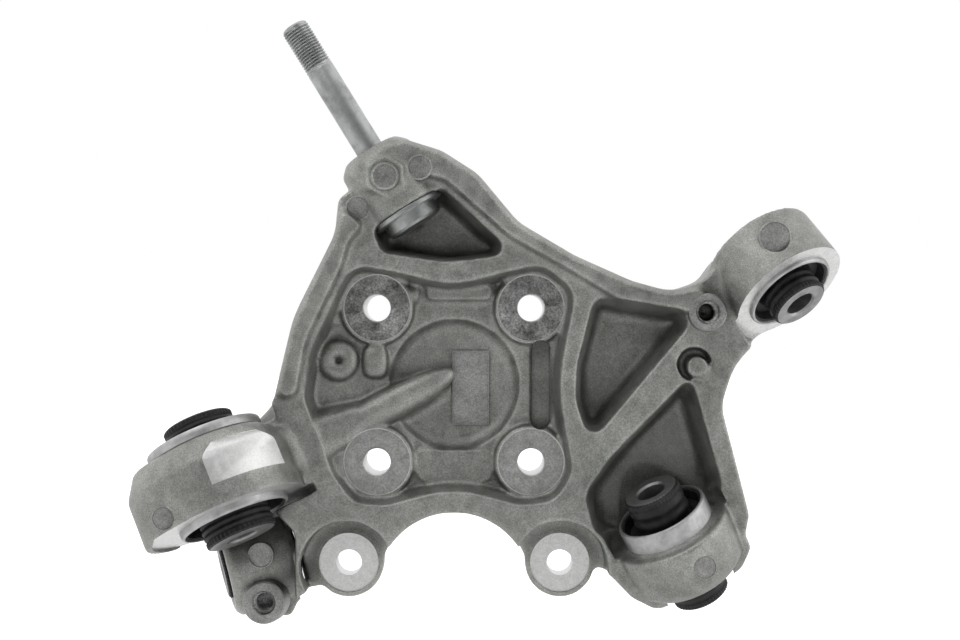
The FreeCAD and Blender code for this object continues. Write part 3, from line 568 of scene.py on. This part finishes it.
def cast_details():
    """Lumps on the basin floor and on the stud boss, and the round body of the rib."""
    floor = BASIN_FLOOR
    slanted = facing(-33.0, -10.5, floor) @ Matrix.Rotation(math.radians(27.5), 4, "Z")
    return [
        bumped("pill_side", facing(-20.5, 45.5, floor), (3.6, 5.2, 3.4)),
        bumped("knob", facing(-58.5, 33.5, floor), (3.4, 4.2, 2.8)),
        cast_ring(facing(-58.0, 12.2, floor + 0.6), 5.8, 4.6),
        bumped("tab", facing(-39.6, 11.6, floor), (6.6, 8.6, 5.4), power=3.0),
        bumped("boss_foot", facing(-56.5, -38.9, floor), (5.5, 8.0, 8.0)),
        bumped("rib_body", slanted, (38.0, 8.5, 8.6), power=2.2),
        bumped("boss_tip", facing(-25.5, 119.0, 30.0), (4.0, 3.0, 9.0)),
        crown(),
    ]


def remesh_evenly(item):
    remesh = item.modifiers.new("remesh", "REMESH")
    remesh.mode = "VOXEL"
    remesh.voxel_size = VOXEL
    apply_modifier(item, remesh)


def round_off(item):
    """Cast radii: every edge of the blank is softened by the same amount."""
    remesh_evenly(item)
    smooth = item.modifiers.new("smooth", "SMOOTH")
    smooth.factor = 0.5
    smooth.iterations = SMOOTH_STEPS
    apply_modifier(item, smooth)
    decimate = item.modifiers.new("decimate", "DECIMATE")
    decimate.ratio = DECIMATE
    apply_modifier(item, decimate)
    for material in FINISHES:
        item.data.materials.append(material)
    for polygon in item.data.polygons:
        polygon.material_index = 0


def machine_eyes(item):
    for name, eye in EYES.items():
        place, half = PLACES[name], eye["length"] / 2
        if name == "upper_arm":
            combine(item, rod("face_cut", place, eye["radius"] + 1.5, half, half + RUN_OUT,
                              FACED), "DIFFERENCE")
        if name == "toe_link":
            combine(item, rod("face_cut", place, eye["radius"], half, half + 5.0,
                              CAST_SKIN), "DIFFERENCE")
        if name == "trailing_arm":
            combine(item, rod("face_cut", place, 42.0, half, half + 4.5, FACED, 128),
                    "DIFFERENCE")
            turned = place @ Matrix.Rotation(math.radians(FLAT["turn"]), 4, "Z")
            side, level = FLAT["half"], eye["radius"] - FLAT["depth"]
            combine(item, box("flat_cut", turned, (-side, -60, FLAT["low"]),
                              (side, -level, FLAT["high"]), MILLED), "DIFFERENCE")
        combine(item, rod("bore_cut", place, eye["bore"] - 0.02, -half - 1.0, half + 1.6,
                          FACED, 96), "DIFFERENCE")


def machine_hub(item):
    """Spot faces with an edge groove, bolt holes, lugs, hub face and pilot seat."""
    for x in (-BOLT, BOLT):
        for z in (-BOLT, BOLT):
            place = facing(x, z)
            spot = rod("spot_cut", place, HUB["spot"], SPOT_FACE, SPOT_FACE + RUN_OUT,
                       STAINED_AND_HOLE_SHADE if z > 0 else CLEAN, 96)
            combine(item, spot, "DIFFERENCE")
            low, high = SPOT_FACE - HUB["groove_depth"], SPOT_FACE + 1
            groove = [(HUB["groove_in"], low), (HUB["groove_out"], low),
                      (HUB["groove_out"], high), (HUB["groove_in"], high)]
            combine(item, lathe("edge_cut", groove, place, 96, FACED), "DIFFERENCE")
            hole = [(0, -2), (HUB["hole"], -2), (HUB["hole"], SPOT_FACE - 0.5),
                    (HUB["mouth"], SPOT_FACE + 0.1), (HUB["mouth"], high), (0, high)]
            combine(item, lathe("hole_cut", hole, place, 64, FACED), "DIFFERENCE")
    for x in (-LUG_X, LUG_X):
        place = facing(x, LUG_Z)
        combine(item, rod("lug_cut", place, LUG["spot"], LUG_FACE, LUG_FACE + RUN_OUT,
                          FACED, 96), "DIFFERENCE")
        combine(item, rod("lug_hole", place, LUG["hole"], 0, LUG_FACE + 2.0, FACED, 64),
                "DIFFERENCE")
    centre = facing(0, 0)
    combine(item, rod("hub_face_cut", centre, HUB["face"] + RUN_OUT, -RUN_OUT, 0.0, FACED,
                      128), "DIFFERENCE")
    combine(item, rod("pilot_cut", centre, HUB["pilot"], -2.0, HUB["pilot_depth"], FACED,
                      128), "DIFFERENCE")


def tapped_hole(item, x, z, top, radius, depth):
    """Countersunk hole with thread turns and a drill point."""
    profile = [(0, top - depth - 3.0), (radius - 0.9, top - depth)]
    height = top - depth
    while height < top - 3.2:
        profile += [(radius - 0.9, height + 0.2), (radius + 0.1, height + 0.7)]
        height += 1.0
    profile += [(radius, top - 0.9), (radius + 0.8, top + 0.1), (radius + 0.8, top + 6),
                (0, top + 6)]
    # The hole's inside takes the dark stained finish as painted shade
    combine(item, lathe("tapped_cut", profile, facing(x, z), 64, STAINED_AND_HOLE_SHADE), "DIFFERENCE")


def cast_boss(item, x, z, top, radius):
    """Crisp round boss for a tapped hole."""
    profile = [(0, top - 12), (radius + 1.2, top - 12), (radius, top - 0.8),
               (radius - 0.8, top), (0, top)]
    combine(item, lathe("boss_top", profile, facing(x, z), 72, FLAT_SKIN), "UNION")


def machine_details(item):
    """Tapped holes, the deep slot beside the bowl and the bare plate."""
    holes = [("upper_tapped_hole", 42.3, 9.3, 14.0), ("toe_tapped_hole", 34.3, 10.6, 9.0)]
    for name, top, radius, depth in holes:
        x, z = MOUNTS[name]["pos_m"][0] / MM, MOUNTS[name]["pos_m"][2] / MM
        cast_boss(item, x, z, top, radius)
        tapped_hole(item, x, z, top, 5.3, depth)
    slot, count = [], 48
    for step in range(count):
        angle = 2 * math.pi * step / count
        end = SLOT["half_length"] if math.sin(angle) > 0 else -SLOT["half_length"]
        slot.append((SLOT["half_width"] * math.cos(angle),
                     SLOT["half_width"] * math.sin(angle) + end))
    verts = [(x * MM * grow, z * MM, level * MM)
             for level, grow in ((SLOT["floor"], 0.86), (SLOT["top"], 1.12)) for x, z in slot]
    faces = [(i, (i + 1) % count, count + (i + 1) % count, count + i) for i in range(count)]
    faces += [tuple(range(count)), tuple(range(count, 2 * count))]
    combine(item, mesh_object("slot_cut", verts, faces, facing(SLOT["x"], 0.0)), "DIFFERENCE")
    low, high, edge = PLATE["low"], PLATE["high"], PLATE["edge"]
    combine(item, box("plate", facing(0, 0), (*low, PLATE["base"]), (*high, PLATE["top"]),
                      FLAT_SKIN), "UNION")
    combine(item, box("plate_inside", facing(0, 0),
                      (low[0] + edge, low[1] + edge, PLATE["floor"]),
                      (high[0] - edge, high[1] - edge, PLATE["top"] + 1.5), FLAT_SKIN),
            "DIFFERENCE")


def ejector_marks(item):
    """Flat round marks of the ejector pins, each square to the camera."""
    tree = BVHTree.FromObject(item, bpy.context.evaluated_depsgraph_get())
    marks = [(-33.5, 102.8, 5.7, 0.5, 1.5), (-16.8, 107.6, 5.4, -0.2, 1.3),
             (-47.3, 87.9, 5.4, -0.2, 1.3), (156.0, 72.5, 7.2, 1.2, 0.8),
             (121.2, -86.5, 5.4, 0.25, 0.5), (-136.0, -61.0, 5.3, -0.2, 0.6),
             (-96.5, -85.0, 5.7, 0.7, 0.9)]
    for x, z, radius, proud, rim in marks:
        start = Vector((x * MM, -0.3, z * MM))
        hit = tree.ray_cast(start, Vector((0, 1, 0)))[0]
        if hit is None:
            continue
        level = -hit.y / MM + proud
        combine(item, rod("mark_cut", facing(x, z), radius, level, level + 2 * RUN_OUT,
                          FLAT_SKIN, 48), "DIFFERENCE")
        combine(item, rod("mark_pin", facing(x, z), radius, level - RUN_OUT, level,
                          FLAT_SKIN, 48), "UNION")
        ring = [(radius, level - 3), (radius, level + 0.1), (radius + 0.3 * rim, level + 0.4),
                (radius + 0.8 * rim, level + 0.3), (radius + rim, level - 3)]
        combine(item, lathe("mark_ring", ring, facing(x, z), 64), "UNION")


def build_casting():
    blank = cast_blank()
    remesh_evenly(blank)
    free_toe_eye(blank)
    item = join([blank, *machining_plugs(), *cast_details()], "casting_skin")
    round_off(item)
    machine_eyes(item)
    machine_hub(item)
    machine_details(item)
    ejector_marks(item)
    item.data.shade_smooth()
    item.data.set_sharp_from_angle(angle=math.radians(38))
    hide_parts("knuckle_casting")
    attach(item, "root")
    return item


# Bushings

def rubber_ribs(profile, low, high, radius, count, depth):
    """Rounded ribs round a rubber stub, as extra points of its profile."""
    steps = count * 8
    for step in range(steps + 1):
        share = step / steps
        rib = 0.5 - 0.5 * math.cos(2 * math.pi * count * share)
        profile.append((radius - depth + depth * rib, low + (high - low) * share))


def finish_piece(item, node, angle=40):
    item.data.shade_smooth()
    item.data.set_sharp_from_angle(angle=math.radians(angle))
    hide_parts(node)
    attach(item, "root")


def darken_rim(core, place, radius):
    """Rubber skin round the rim of a core and over the outer part of its faces."""
    inverse = place.inverted()
    for polygon in core.data.polygons:
        spot = inverse @ polygon.center
        if math.hypot(spot.x, spot.y) / MM > radius:
            polygon.material_index = RUBBER_SKIN


def build_bushing(name):
    place, eye = PLACES[name], EYES[name]
    half, bore, tube, flare = eye["length"] / 2, eye["bore"], eye["tube"], eye["flare"]
    front, back = half + eye["proud"], -half - eye["collar"]
    wall = bore - SLEEVE_WALL
    label = name + "_bushing_"
    low, high = span(label + "inner_sleeve", place)
    hole = MOUNTS[name + "_bore"]["dims"]["r_mm"]

    outer = [(wall, back + 0.6), (wall + 0.5, back)]
    if eye["collar"]:
        outer += [(COLLAR_RADIUS - 0.3, back), (COLLAR_RADIUS, back + 0.5),
                  (COLLAR_RADIUS, -half - 0.4), (COLLAR_RADIUS - 0.3, -half), (bore, -half)]
    else:
        outer += [(bore - 0.5, back), (bore, back + 0.5)]
    outer += [(bore, front - 1.2), (bore - 0.25, front - 0.45), (bore - 0.8, front),
              (wall + 0.3, front), (wall, front - 0.4)]
    sleeve = lathe(label + "outer_sleeve_look", outer, place, 128, 0, [SLEEVE])
    finish_piece(sleeve, label + "outer_sleeve")

    stub = flare + 0.3
    lip = wall - 1.0
    rubber = [(tube, low + 3.0), (stub - 0.4, low + 3.0)]
    ribs = eye["ribs"]
    rubber_ribs(rubber, low + 3.6, back + 4.0, stub, ribs if back - low > 4 else 1, 0.7)
    rubber += [(stub + 0.6, back + 6.0), (lip - 1.2, back + 6.0), (lip - 0.4, back + 3.0),
               (lip, back + 1.6), (wall, back + 1.3), (wall, front - 1.3),
               (lip, front - 1.6), (lip - 0.4, front - 3.0), (lip - 1.2, front - 6.0),
               (stub + 0.6, front - 6.0)]
    rubber_ribs(rubber, front - 4.0, high - 3.6, stub, ribs if high - front > 4 else 1, 0.7)
    rubber += [(stub - 0.4, high - 3.0), (tube, high - 3.0)]
    body = lathe(label + "rubber_look", rubber, place, 128, 0, [RUBBER])
    finish_piece(body, label + "rubber", 50)

    def knurl(radius, height, angle):
        return 0.22 * math.cos(angle * 46) if radius > flare - 0.6 else 0.0

    inner = [(hole + 0.9, low), (tube - 1.5, low), (flare - 0.9, low), (flare, low + 0.8),
             (flare, low + 3.0), (tube, low + 3.0), (tube, high - 3.0), (flare, high - 3.0),
             (flare, high - 0.8), (flare - 0.9, high), (tube - 1.5, high), (hole + 0.9, high),
             (hole, high - 1.0), (hole, low + 1.0)]
    core = lathe(label + "inner_sleeve_look", inner, place, 276, 0, [INNER, RUBBER], knurl)
    darken_rim(core, place, flare - 1.6)
    finish_piece(core, label + "inner_sleeve")


# Stud with a real thread on its end

def build_stud():
    low, high = span("damper_stud", STUD)
    size = STUD_SIZE
    radius, pitch, thread = size["shank"], size["pitch"], size["thread"]
    head, flange, seat = size["head_radius"], size["flange_radius"], size["seat_radius"]
    step_up = low + size["head"]
    face = step_up + size["flange"]
    shoulder = face + size["seat_length"]
    profile = [(0, low), (11.5, low), (12.4, low + 0.5), (13.4, low + 0.4), (head, low + 1.6),
               (head, step_up), (flange - 0.5, step_up), (flange, step_up + 0.5),
               (flange, face - 0.4), (flange - 0.3, face), (seat, face),
               (seat, shoulder - 0.1), (radius, shoulder + 0.1),
               (radius, high - thread - 1.0), (radius - 0.25, high - thread - 0.4)]
    start = high - thread
    steps = int(thread / pitch * 10)
    for step in range(steps + 1):
        height = start + (thread - 2.4) * step / steps
        profile.append((radius, height))
    for step in range(6):
        angle = math.pi / 2 * (step + 1) / 6
        profile.append((radius - 2.2 + 2.2 * math.cos(angle), high - 2.4 + 2.4 * math.sin(angle)))
    profile.append((0, high))

    def groove(at, height, angle):
        if height < start or at < 5.5:
            return 0.0
        turn = ((height - start) / pitch - angle / (2 * math.pi)) % 1.0
        fade = min((height - start) / 1.5, 1.0) * min(max((high - 0.8 - height) / 1.6, 0.0), 1.0)
        flank = min(abs(turn - 0.5) * 2.6, 1.0)
        return -size["thread_depth"] * (1 - flank) * fade

    stud = lathe("damper_stud_look", profile, STUD, 64, 0, [ZINC], groove)
    finish_piece(stud, "damper_stud", 32)


build_casting()
for link in EYES:
    build_bushing(link)
build_stud()


# Studio

def build_floor():
    level = -0.2
    half = 6.0
    floor = mesh_object("floor", [(-half, -half, level), (half, -half, level),
                                  (half, half, level), (-half, half, level)], [(0, 1, 2, 3)])
    material, shader = new_material("pale_floor")
    nodes = material.node_tree.nodes
    shader.inputs["Base Color"].default_value = (0.9, 0.9, 0.9, 1)
    shader.inputs["Roughness"].default_value = 0.8
    lift = nodes.new("ShaderNodeLightPath")
    strength = nodes.new("ShaderNodeMath")
    strength.operation = "MULTIPLY"
    strength.inputs[1].default_value = 0.35
    material.node_tree.links.new(lift.outputs["Is Camera Ray"], strength.inputs[0])
    shader.inputs["Emission Color"].default_value = (1, 1, 1, 1)
    material.node_tree.links.new(strength.outputs["Value"], shader.inputs["Emission Strength"])
    floor.data.materials.clear()
    floor.data.materials.append(material)


def build_world():
    """White round the object, darker behind the camera, white to the camera."""
    world = bpy.data.worlds.new("studio")
    bpy.context.scene.world = world
    world.use_nodes = True
    nodes, links = world.node_tree.nodes, world.node_tree.links
    nodes.clear()
    output = nodes.new("ShaderNodeOutputWorld")
    background = nodes.new("ShaderNodeBackground")
    place = nodes.new("ShaderNodeTexCoord")
    parts = nodes.new("ShaderNodeSeparateXYZ")
    ramp = nodes.new("ShaderNodeMapRange")
    ramp.interpolation_type = "SMOOTHSTEP"
    for name, number in (("From Min", -0.95), ("From Max", -0.2), ("To Min", 0.12),
                         ("To Max", 1.35)):
        ramp.inputs[name].default_value = number
    path = nodes.new("ShaderNodeLightPath")
    mix = nodes.new("ShaderNodeMix")
    mix.inputs["B"].default_value = 1.0
    background.inputs["Color"].default_value = (1, 1, 1, 1)
    links.new(place.outputs["Generated"], parts.inputs["Vector"])
    links.new(parts.outputs["Y"], ramp.inputs["Value"])
    links.new(ramp.outputs["Result"], mix.inputs["A"])
    links.new(path.outputs["Is Camera Ray"], mix.inputs["Factor"])
    links.new(mix.outputs["Result"], background.inputs["Strength"])
    links.new(background.outputs["Background"], output.inputs["Surface"])


def area_lamp(name, place, target, size, power):
    lamp = bpy.data.lights.new(name, "AREA")
    lamp.shape = "DISK"
    lamp.size = size
    lamp.energy = power
    item = bpy.data.objects.new(name, lamp)
    item.location = place
    aim = Vector(target) - Vector(place)
    item.rotation_euler = aim.to_track_quat("-Z", "Y").to_euler()
    bpy.context.scene.collection.objects.link(item)


def build_camera():
    camera = bpy.data.cameras.new("camera")
    camera.lens = CAMERA_LENS
    camera.sensor_width = 36.0
    camera.clip_start = 0.01
    item = bpy.data.objects.new("camera", camera)
    item.location = CAMERA_PLACE
    item.rotation_euler = (math.radians(90), 0, 0)
    bpy.context.scene.collection.objects.link(item)
    bpy.context.scene.camera = item


build_floor()
build_world()
area_lamp("key", (-0.7, -0.9, 1.1), (0, 0, 0), 0.8, 5.0)
area_lamp("fill", (1.1, -0.5, 0.3), (0, 0, 0), 0.8, 3.0)
build_camera()
bpy.context.scene.view_settings.view_transform = "Standard"
